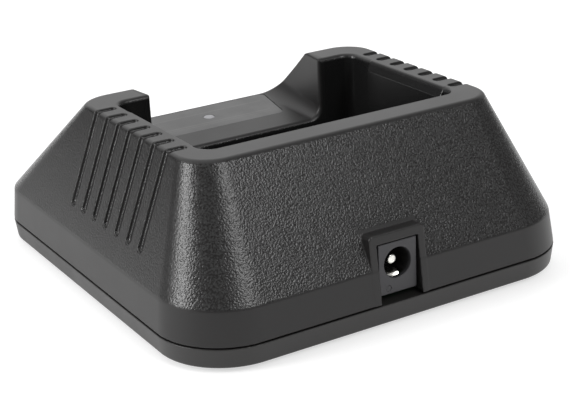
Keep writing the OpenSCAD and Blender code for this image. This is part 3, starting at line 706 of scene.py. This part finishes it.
def case_plastic():
    """Moulded case: coarse sandblast grain on the slopes, fine satin elsewhere, a glossier pocket with
    painted shade in it.
    """
    n = Nodes("case_plastic")
    x, y, z = n.split(n.place)
    normal = n.tree.nodes.new("ShaderNodeTexCoord").outputs["Normal"]
    up = n.split(normal)[2]
    ax = n.math("ABSOLUTE", x)
    # where the grain is: sloping faces above the band, outside the mouth and off the hood
    tilted = n.math("MULTIPLY", n.ramp(up, 0.20, 0.30), n.ramp(up, 0.93, 0.84))
    above = n.ramp(z, 12.5 * MM, 12.7 * MM)
    below = n.ramp(z, 36.6 * MM, 36.1 * MM)
    deck = n.math("SUBTRACT", z, n.math("MULTIPLY_ADD", y, -DECK_TAN,
                                        (DECK_Z + POCKET_FRONT * DECK_TAN) * MM))
    flare = n.math("MULTIPLY_ADD", y, -MOUTH_FLARE / (POCKET_FRONT + CASE_Y),
                   (MOUTH_X + 1.0) * MM)
    in_mouth = n.math("MULTIPLY", n.ramp(deck, -0.6 * MM, -0.3 * MM),
                      n.ramp(n.math("SUBTRACT", ax, flare), 0.5 * MM, 0.2 * MM))
    in_mouth = n.math("MULTIPLY", in_mouth, n.ramp(y, -10.0 * MM, -11.0 * MM))
    on_hood = n.math("MULTIPLY", n.ramp(ax, 6.9 * MM, 6.6 * MM), n.ramp(z, 20.0 * MM, 19.7 * MM))
    on_hood = n.math("MULTIPLY", on_hood, n.ramp(y, 40 * MM, 43 * MM))
    grain = n.math("MULTIPLY", n.math("MULTIPLY", tilted, above), below)
    grain = n.math("MULTIPLY", grain, n.math("SUBTRACT", 1.0, in_mouth))
    grain = n.math("MULTIPLY", grain, n.math("SUBTRACT", 1.0, on_hood))
    # the two side slopes are polished finer than the front and rear
    side = n.ramp(n.math("ABSOLUTE", n.split(normal)[0]), 0.80, 0.92)
    grain = n.math("MULTIPLY", grain, n.math("MULTIPLY_ADD", side, -0.5, 1.0))
    in_pocket = n.math("MULTIPLY", n.ramp(ax, 30.3 * MM, 30.1 * MM),
                       n.math("MULTIPLY", n.ramp(y, -13.1 * MM, -12.9 * MM),
                              n.ramp(y, 27.9 * MM, 27.7 * MM)))
    in_pocket = n.math("MULTIPLY", in_pocket, n.ramp(z, 36.3 * MM, 35.9 * MM))
    in_pocket = n.math("MULTIPLY", in_pocket, n.ramp(up, 0.6, 0.3))

    coarse = n.noise(2600, 1.0, 0.5)
    pits = n.cells(2600, 0.3)
    rough_height = n.math("ADD", n.math("MULTIPLY", coarse, 0.75), n.math("MULTIPLY", pits, 0.35))
    fine = n.noise(5200, 2.0, 0.6)
    drift = n.noise(60, 3.0, 0.6)
    soft = n.bump(fine, 0.010 * MM, 0.35)
    blast = n.bump(rough_height, 0.10 * MM, grain, soft)

    tone = n.mix_colour(drift, grey(0.0095, (1.06, 1.0, 1.0)), grey(0.0130, (1.06, 1.0, 1.0)))
    # blasted peaks are painted lighter than the pits: a painted glint standing in for the grain's
    # sparkle
    peak_glint = n.math("MULTIPLY", n.ramp(coarse, 0.38, 0.64), grain)
    tone = n.mix_colour(peak_glint, tone, grey(0.031))
    # painted shade: the pocket's inside is painted darker than the rest of the case
    tone = n.mix_colour(in_pocket, tone, grey(0.009))
    rough = n.math("MULTIPLY_ADD", grain, -0.13, 0.38)
    rough = n.math("ADD", rough, n.math("MULTIPLY", n.math("SUBTRACT", drift, 0.5), 0.12))
    rough = n.math("ADD", rough, n.math("MULTIPLY", in_pocket, -0.12))
    rough = n.math("ADD", rough, n.math("MULTIPLY", in_mouth, 0.07))
    m = n.set(Base_Color=tone, Roughness=rough, Normal=blast)
    n.shader.inputs["IOR"].default_value = 1.45
    return m


def base_plastic():
    """The lower shell: the same resin with a plain fine satin, its colour painted lighter than the top
    shell's as painted light.
    """
    n = Nodes("base_plastic")
    drift = n.noise(55, 3.0, 0.6)
    fine = n.noise(4200, 2.0, 0.6)
    # painted light: this tone is lighter than the top shell's, though the resin is the same
    tone = n.mix_colour(drift, grey(0.0135, (1.06, 1.0, 0.98)), grey(0.018, (1.06, 1.0, 0.98)))
    rough = n.ramp(drift, 0.3, 0.7, 0.38, 0.46)
    return n.set(Base_Color=tone, Roughness=rough, Normal=n.bump(fine, 0.010 * MM, 0.5))


def socket_plastic():
    """Glass-filled socket moulding, slightly paler and bluer than the case."""
    n = Nodes("socket_plastic")
    drift = n.noise(300, 3.0, 0.6)
    fine = n.noise(6000, 2.0, 0.6)
    y = n.split(n.place)[1]
    # painted shade: everything more than about a millimetre behind the face, the bore's inside among
    # it, is painted near black
    shade_behind_face = n.ramp(y, (JACK_FACE - 0.3) * MM, (JACK_FACE - 1.4) * MM)
    tone = n.mix_colour(drift, grey(0.028, (1.0, 0.98, 1.08)), grey(0.036, (1.0, 0.98, 1.08)))
    tone = n.mix_colour(shade_behind_face, tone, grey(0.006))
    rough = n.ramp(drift, 0.3, 0.7, 0.42, 0.52)
    return n.set(Base_Color=tone, Roughness=rough, Normal=n.bump(fine, 0.008 * MM, 0.5))


def bright_metal(name="contact_metal", colour=(0.86, 0.85, 0.80), rough=0.22):
    """Nickel-plated spring metal with fine drawing lines and faint handling marks."""
    n = Nodes(name)
    lines = n.noise(900, 2.0, 0.6, stretch=(8.0, 1.0, 1.0))
    marks = n.noise(700, 4.0, 0.65)
    tone = n.mix_colour(n.ramp(marks, 0.35, 0.7), colour + (1.0,),
                        tuple(c * 0.86 for c in colour) + (1.0,))
    r = n.ramp(marks, 0.3, 0.75, rough - 0.05, rough + 0.12)
    return n.set(Base_Color=tone, Metallic=1.0, Roughness=r, Normal=n.bump(lines, 0.004 * MM, 0.4))


def label_film():
    """Printed satin film on the deck, left blank but for faint ruled lines."""
    n = Nodes("label_film")
    drift = n.noise(120, 3.0, 0.6)
    fine = n.noise(3600, 2.0, 0.55)
    x, y, _ = n.split(n.place)
    tone = n.mix_colour(drift, grey(0.044), grey(0.054))
    # three soft ruled lines of generic layout, with no lettering
    rules = None
    for at, half, length in ((-30.6, 0.16, 15.5), (-24.6, 0.16, 14.6), (-23.6, 0.08, 14.6)):
        off = n.math("ABSOLUTE", n.math("SUBTRACT", y, at * MM))
        band = n.ramp(off, (half + 0.08) * MM, half * MM)
        band = n.math("MULTIPLY", band, n.ramp(n.math("ABSOLUTE", x), (length + 0.1) * MM, length * MM))
        rules = band if rules is None else n.math("MAXIMUM", rules, band)
    tone = n.mix_colour(n.math("MULTIPLY", rules, 0.5), tone, grey(0.09))
    rough = n.ramp(drift, 0.3, 0.7, 0.36, 0.44)
    return n.set(Base_Color=tone, Roughness=rough, Normal=n.bump(fine, 0.006 * MM, 0.4))


def window_film():
    """The milky window that lets the charge light through."""
    n = Nodes("window_film")
    haze = n.noise(900, 2.0, 0.6)
    tone = n.mix_colour(haze, grey(0.20, (1.0, 1.0, 1.06)), grey(0.28, (1.0, 1.0, 1.06)))
    return n.set(Base_Color=tone, Roughness=n.ramp(haze, 0.3, 0.7, 0.25, 0.4),
                 Normal=n.bump(haze, 0.01 * MM, 0.4))


def rubber():
    """Matt rubber with a dusty bloom and fine pitting."""
    n = Nodes("foot_rubber")
    bloom = n.noise(500, 4.0, 0.65)
    pits = n.noise(4200, 3.0, 0.6)
    tone = n.mix_colour(n.ramp(bloom, 0.4, 0.75), grey(0.011), grey(0.028))
    return n.set(Base_Color=tone, Roughness=n.ramp(bloom, 0.3, 0.7, 0.72, 0.86),
                 Normal=n.bump(pits, 0.03 * MM, 0.6))


def rating_film():
    """Blank silvery sheet with a thin printed border and faint rules."""
    n = Nodes("rating_film")
    drift = n.noise(140, 3.0, 0.6)
    x, y, _ = n.split(n.place)
    ax, ay = n.math("ABSOLUTE", x), n.math("ABSOLUTE", y)
    off_x = n.math("ABSOLUTE", n.math("SUBTRACT", ax, 21.6 * MM))
    off_y = n.math("ABSOLUTE", n.math("SUBTRACT", ay, 12.6 * MM))
    border = n.math("MAXIMUM", n.ramp(off_x, 0.2 * MM, 0.12 * MM), n.ramp(off_y, 0.2 * MM, 0.12 * MM))
    border = n.math("MULTIPLY", border, n.math("MULTIPLY", n.ramp(ax, 21.8 * MM, 21.7 * MM),
                                               n.ramp(ay, 12.8 * MM, 12.7 * MM)))
    tone = n.mix_colour(drift, grey(0.50, (1.0, 1.0, 0.98)), grey(0.58, (1.0, 1.0, 0.98)))
    tone = n.mix_colour(border, tone, grey(0.05))
    return n.set(Base_Color=tone, Metallic=0.35, Roughness=n.ramp(drift, 0.3, 0.7, 0.34, 0.46),
                 Normal=n.bump(n.noise(2600, 2.0, 0.5), 0.006 * MM, 0.4))


def screw_steel():
    n = Nodes("screw_steel")
    stain = n.noise(900, 4.0, 0.65)
    lines = n.noise(1500, 2.0, 0.6, stretch=(1.0, 1.0, 6.0))
    tone = n.mix_colour(n.ramp(stain, 0.4, 0.75), grey(0.48, (1.0, 0.99, 0.96)),
                        grey(0.27, (1.0, 0.96, 0.9)))
    return n.set(Base_Color=tone, Metallic=1.0, Roughness=n.ramp(stain, 0.3, 0.75, 0.24, 0.48),
                 Normal=n.bump(lines, 0.01 * MM, 0.5))


def board_laminate():
    """Green solder mask over glass weave."""
    n = Nodes("board_laminate")
    x, y, _ = n.split(n.place)
    weave = n.math("MULTIPLY", n.math("SINE", n.math("MULTIPLY", x, 9000.0)),
                   n.math("SINE", n.math("MULTIPLY", y, 9000.0)))
    blot = n.noise(160, 3.0, 0.6)
    tone = n.mix_colour(blot, (0.012, 0.085, 0.030, 1), (0.020, 0.13, 0.045, 1))
    return n.set(Base_Color=tone, Roughness=n.ramp(blot, 0.3, 0.7, 0.30, 0.42),
                 Normal=n.bump(weave, 0.006 * MM, 0.5))


def moulded(name, dark, light, rough, tint=(1.0, 1.0, 1.0), metal=0.0, scale=900, depth=0.012):
    """Small moulded or plated pieces inside the case."""
    n = Nodes(name)
    blot = n.noise(scale, 3.0, 0.6)
    fine = n.noise(scale * 6, 2.0, 0.6)
    tone = n.mix_colour(blot, grey(dark, tint), grey(light, tint))
    m = n.set(Base_Color=tone, Roughness=n.ramp(blot, 0.3, 0.7, rough - 0.05, rough + 0.08),
              Normal=n.bump(fine, depth * MM, 0.5))
    n.shader.inputs["Metallic"].default_value = metal
    return m


def floor_paper():
    """Seamless white studio paper. It glows a little, so that it stays white round the case."""
    n = Nodes("floor_paper")
    fibre = n.noise(900, 3.0, 0.6)
    tone = n.mix_colour(fibre, grey(0.50), grey(0.53))
    n.shader.inputs["Emission Color"].default_value = (1.0, 1.0, 1.0, 1.0)
    n.shader.inputs["Emission Strength"].default_value = 0.60
    return n.set(Base_Color=tone, Roughness=0.9, Normal=n.bump(fibre, 0.01 * MM, 0.2))


# ---------------------------------------------------------------- pieces

def build_shells(plastic, base):
    fine = 0.28
    top = solid("top_shell_skin", top_shell_shape, (-CASE_X, -CASE_Y, SEAM_Z + SEAM_GAP),
                (CASE_X, CASE_Y, CASE_H), fine, 150000, plastic)
    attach(top, "cradle")
    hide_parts("top_shell")
    low = solid("base_shell_skin", base_shell_shape, (-CASE_X, -CASE_Y, STAND_H),
                (CASE_X, CASE_Y, LIP_MID_Z + LIP_HALF_Z), 0.33,
                70000, base)
    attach(low, "cradle")
    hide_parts("base_shell")


def build_socket(plastic, metal):
    body = solid("socket_moulding", jack_body_shape, (-JACK_X, JACK_BACK, JACK_Z0),
                 (JACK_X, JACK_FACE, JACK_Z1), 0.12, 40000, plastic)
    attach(body, "cradle")
    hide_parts("dc_jack_body")
    tip, r, e = PIN_TIP_Y, PIN_R, 0.3
    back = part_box("dc_jack_centre_pin")[0][1] / MM
    profile = [(0.0, back), (STEM_R, back), (STEM_R, PIN_STEP_Y)]
    profile += [(r - 0.03, PIN_STEP_Y), (r, 38.56)]
    profile += [(r - e + e * math.cos(a), tip - e + e * math.sin(a))
                for a in np.linspace(0, math.pi / 2, 7)]
    profile += [(0.4, tip), (0.0, tip)]
    pin = lathe("socket_pin", profile, (0, 0, BORE_Z), "Y", metal)
    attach(pin, "cradle")
    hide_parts("dc_jack_centre_pin")
    path = rounded_path(LEAF_PATH, 0.8)
    leaf = bent_strip("socket_leaf_strip", path, 0.0, 3.4, 0.32, metal, crown=-0.12)
    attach(leaf, "socket_leaf")
    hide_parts("dc_jack_leaf")


def build_contacts(metal):
    path = rounded_path(CONTACT_PATH, 1.1)
    for side, x in (("left", -CONTACT_X), ("right", CONTACT_X)):
        blade = bent_strip(f"contact_blade_{side}", path, x, 4.0, 0.38, metal, crown=0.06)
        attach(blade, f"{side}_contact")
        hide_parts(f"contact_{side}")


def build_feet(material):
    h = STAND_H + FOOT_SUNK
    profile = [(0.0, 0.18), (1.6, 0.05), (2.9, 0.0), (3.5, 0.06), (3.85, 0.35), (3.97, 0.8)]
    profile += [(FOOT_R, h), (0.0, h)]
    for ns, y in (("front", -FOOT_Y), ("rear", FOOT_Y)):
        for lr, x in (("left", -FOOT_X), ("right", FOOT_X)):
            foot = lathe(f"foot_pad_{ns}_{lr}", profile, (x, y, 0), "Z", material)
            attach(foot, "cradle")
            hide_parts(f"foot_{ns}_{lr}")


def deck_matrix():
    """Places a flat sheet on the recess floor, its own y towards the pocket."""
    c, s = math.cos(DECK_TILT), math.sin(DECK_TILT)
    rot = Matrix(((1, 0, 0, 0), (0, c, s, 0), (0, -s, c, 0), (0, 0, 0, 1)))
    mid = Vector((0, POCKET_FRONT, DECK_Z)) + Vector((0, -LABEL_MID * c, LABEL_MID * s))
    mid += Vector((0, s, c)) * -LABEL_SUNK
    return Matrix.Translation(mid * MM) @ rot


def label_outline():
    side = math.hypot(LABEL_D, LABEL_TAPER)
    lean = math.atan2(LABEL_TAPER, LABEL_D)
    pts = []
    ends = []
    for s in (-1, 1):
        v = s * (LABEL_D / 2 - LABEL_R)
        ends.append((LABEL_W / 2 - LABEL_TAPER * (v / LABEL_D + 0.5) - LABEL_R * side / LABEL_D, v))
    for a in np.linspace(-math.pi / 2, lean, 8):
        pts.append((ends[0][0] + LABEL_R * math.cos(a), ends[0][1] + LABEL_R * math.sin(a)))
    for a in np.linspace(lean, math.pi / 2, 8):
        pts.append((ends[1][0] + LABEL_R * math.cos(a), ends[1][1] + LABEL_R * math.sin(a)))
    return pts + [(-x, v) for x, v in pts[::-1]]


def build_labels(film, window, rating):
    place = deck_matrix()
    label = sheet_piece("front_label_film", label_outline(), LABEL_T, place, film,
                        holes=[circle_outline(0, 0, WINDOW_D / 2 + 0.05)])
    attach(label, "cradle")
    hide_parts("front_label")
    r = WINDOW_D / 2
    profile = [(0.0, 0.0), (r, 0.0), (r, LABEL_T - 0.08), (r - 0.08, LABEL_T - 0.01)]
    profile += [(0.6 * r, LABEL_T), (0.0, LABEL_T)]
    pane = lathe("charge_light_window", profile, (0, 0, 0), "Z", window)
    pane.data.transform(place)
    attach(pane, "cradle")
    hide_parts("led_window")
    lift = Matrix.Translation((0, 0, (STAND_H + 0.05) * MM))
    outline = rounded_outline(RATING_X, RATING_Y, RATING_R)
    under = sheet_piece("rating_sheet", outline, RATING_T, lift, rating, bevel=0.04)
    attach(under, "cradle")
    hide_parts("rating_label")


def dress_inner_nodes(metal):
    """Procedural materials for the CAD nodes that keep their shapes."""
    steel = screw_steel()
    chip = moulded("chip_black", 0.010, 0.020, 0.45)
    can = moulded("can_aluminium", 0.62, 0.74, 0.28, metal=1.0, scale=700, depth=0.004)
    holder = moulded("holder_black", 0.014, 0.022, 0.48)
    board = board_laminate()
    lens = moulded("led_lens", 0.55, 0.72, 0.18, tint=(1.0, 1.0, 0.96), scale=500, depth=0.003)
    spacer = moulded("spacer_black", 0.012, 0.018, 0.5)
    fuse = moulded("fuse_green", 0.10, 0.16, 0.4, tint=(0.35, 1.0, 0.45))
    tan = moulded("chip_tan", 0.28, 0.38, 0.5, tint=(1.0, 0.78, 0.5))
    looks = {
        "case_screws": steel, "board_screws": steel, "main_board": board,
        "dc_jack_leaf_terminal": metal, "dc_jack_switch_terminal": metal,
        "contact_block": holder, "contact_tail_left": metal, "contact_tail_right": metal,
        "status_led": lens, "status_led_leads": metal, "led_spacer": spacer,
        "charge_controller": chip, "pass_transistor": chip, "blocking_diode": chip,
        "sense_resistor": chip, "input_fuse": fuse, "input_capacitor": can,
        "output_capacitor": can, "chip_resistors": chip, "chip_capacitors": tan,
    }
    for name, material in looks.items():
        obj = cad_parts[name]
        for slot in obj.material_slots:
            slot.material = material


# ---------------------------------------------------------------- studio

def build_floor():
    mesh = bpy.data.meshes.new("studio_floor")
    bm = bmesh.new()
    bmesh.ops.create_grid(bm, x_segments=8, y_segments=8, size=0.8)
    bm.to_mesh(mesh)
    bm.free()
    floor = add_object("studio_floor", mesh, floor_paper())


def softbox(name, azimuth, elevation, distance, size, radiance):
    """An area light aimed at the cradle. azimuth is degrees from +X towards +Y."""
    a, e = math.radians(azimuth), math.radians(elevation)
    towards = Vector((math.cos(a) * math.cos(e), math.sin(a) * math.cos(e), math.sin(e)))
    data = bpy.data.lights.new(name, "AREA")
    data.shape = "RECTANGLE"
    data.size, data.size_y = size
    data.energy = radiance * math.pi * size[0] * size[1]
    light = bpy.data.objects.new(name, data)
    light.location = Vector((0, 0, 0.02)) + towards * distance
    light.rotation_euler = towards.to_track_quat("Z", "Y").to_euler()
    bpy.context.scene.collection.objects.link(light)


def build_world():
    """A pale room, brightest overhead, dimmer behind the camera, to its right and low on its left."""
    world = bpy.data.worlds.new("studio")
    bpy.context.scene.world = world
    world.use_nodes = True
    tree = world.node_tree
    tree.nodes.clear()
    out = tree.nodes.new("ShaderNodeOutputWorld")
    back = tree.nodes.new("ShaderNodeBackground")
    tree.links.new(back.outputs[0], out.inputs[0])
    back.inputs[0].default_value = (1.0, 1.0, 1.0, 1.0)
    where = tree.nodes.new("ShaderNodeTexCoord").outputs["Generated"]

    def fade(direction, d0, d1, v0, v1):
        """A strength that goes from v0 to v1 as the way looked along nears the direction."""
        dot = tree.nodes.new("ShaderNodeVectorMath")
        dot.operation = "DOT_PRODUCT"
        tree.links.new(where, dot.inputs[0])
        dot.inputs[1].default_value = Vector(direction).normalized()
        ramp = tree.nodes.new("ShaderNodeMapRange")
        ramp.interpolation_type = "SMOOTHSTEP"
        for v, socket in zip((d0, d1, v0, v1), ramp.inputs[1:]):
            socket.default_value = v
        tree.links.new(dot.outputs["Value"], ramp.inputs[0])
        return ramp.outputs[0]

    def times(a, b):
        n = tree.nodes.new("ShaderNodeMath")
        n.operation = "MULTIPLY"
        tree.links.new(a, n.inputs[0])
        tree.links.new(b, n.inputs[1])
        return n.outputs[0]

    height = fade((0, 0, 1), 0.0, 0.36, 0.45, 1.33)
    room = fade((0.62, 0.66, 0.42), 0.35, 0.85, 1.0, 0.15)
    right = fade((-0.81, 0.35, 0.45), 0.45, 0.9, 1.0, 0.2)
    card = fade((0.55, -0.83, 0.06), 0.75, 0.96, 1.0, 0.1)
    tree.links.new(times(times(height, card), times(room, right)), back.inputs[1])


def build_lights():
    softbox("softbox_left", -9, 25, 0.9, (0.26, 0.50), 12.3)
    softbox("softbox_right", 97, 40, 0.9, (0.20, 0.42), 6.7)
    softbox("softbox_rear", 112, 45, 1.0, (0.20, 0.30), 8.2)


def build_camera():
    """The photo's camera, solved from the case's straight edges."""
    azimuth, elevation, roll = math.radians(150.48), math.radians(20.66), math.radians(-3.06)
    distance = 0.32549
    target = Vector((0.0, -0.00228865, 0.01201))
    back = Vector((math.sin(azimuth) * math.cos(elevation), -math.cos(azimuth) * math.cos(elevation),
                   math.sin(elevation)))
    right = (-back).cross(Vector((0, 0, 1))).normalized()
    up = right.cross(-back)
    r2 = right * math.cos(roll) + up * math.sin(roll)
    u2 = -right * math.sin(roll) + up * math.cos(roll)
    data = bpy.data.cameras.new("photo_camera")
    data.sensor_width = 36.0
    data.lens = 92.05
    data.shift_x, data.shift_y = 0.0319, -0.0164
    data.clip_start, data.clip_end = 0.01, 20.0
    camera = bpy.data.objects.new("photo_camera", data)
    camera.matrix_world = Matrix((
        (r2.x, u2.x, back.x, target.x + back.x * distance),
        (r2.y, u2.y, back.y, target.y + back.y * distance),
        (r2.z, u2.z, back.z, target.z + back.z * distance),
        (0, 0, 0, 1)))
    bpy.context.scene.collection.objects.link(camera)
    bpy.context.scene.camera = camera


# ---------------------------------------------------------------- the scene

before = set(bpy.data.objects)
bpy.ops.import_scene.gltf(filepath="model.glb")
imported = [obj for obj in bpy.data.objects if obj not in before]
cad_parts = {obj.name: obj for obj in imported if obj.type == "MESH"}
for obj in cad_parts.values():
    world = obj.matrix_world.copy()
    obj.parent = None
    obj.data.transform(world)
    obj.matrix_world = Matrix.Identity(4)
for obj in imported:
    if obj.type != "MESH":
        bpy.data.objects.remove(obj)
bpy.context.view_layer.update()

bpy.context.scene.view_settings.view_transform = "Standard"
build_camera()
build_world()
build_lights()
build_floor()

nickel = bright_metal()
build_shells(case_plastic(), base_plastic())
build_socket(socket_plastic(), nickel)
build_contacts(nickel)
build_feet(rubber())
build_labels(label_film(), window_film(), rating_film())
dress_inner_nodes(nickel)
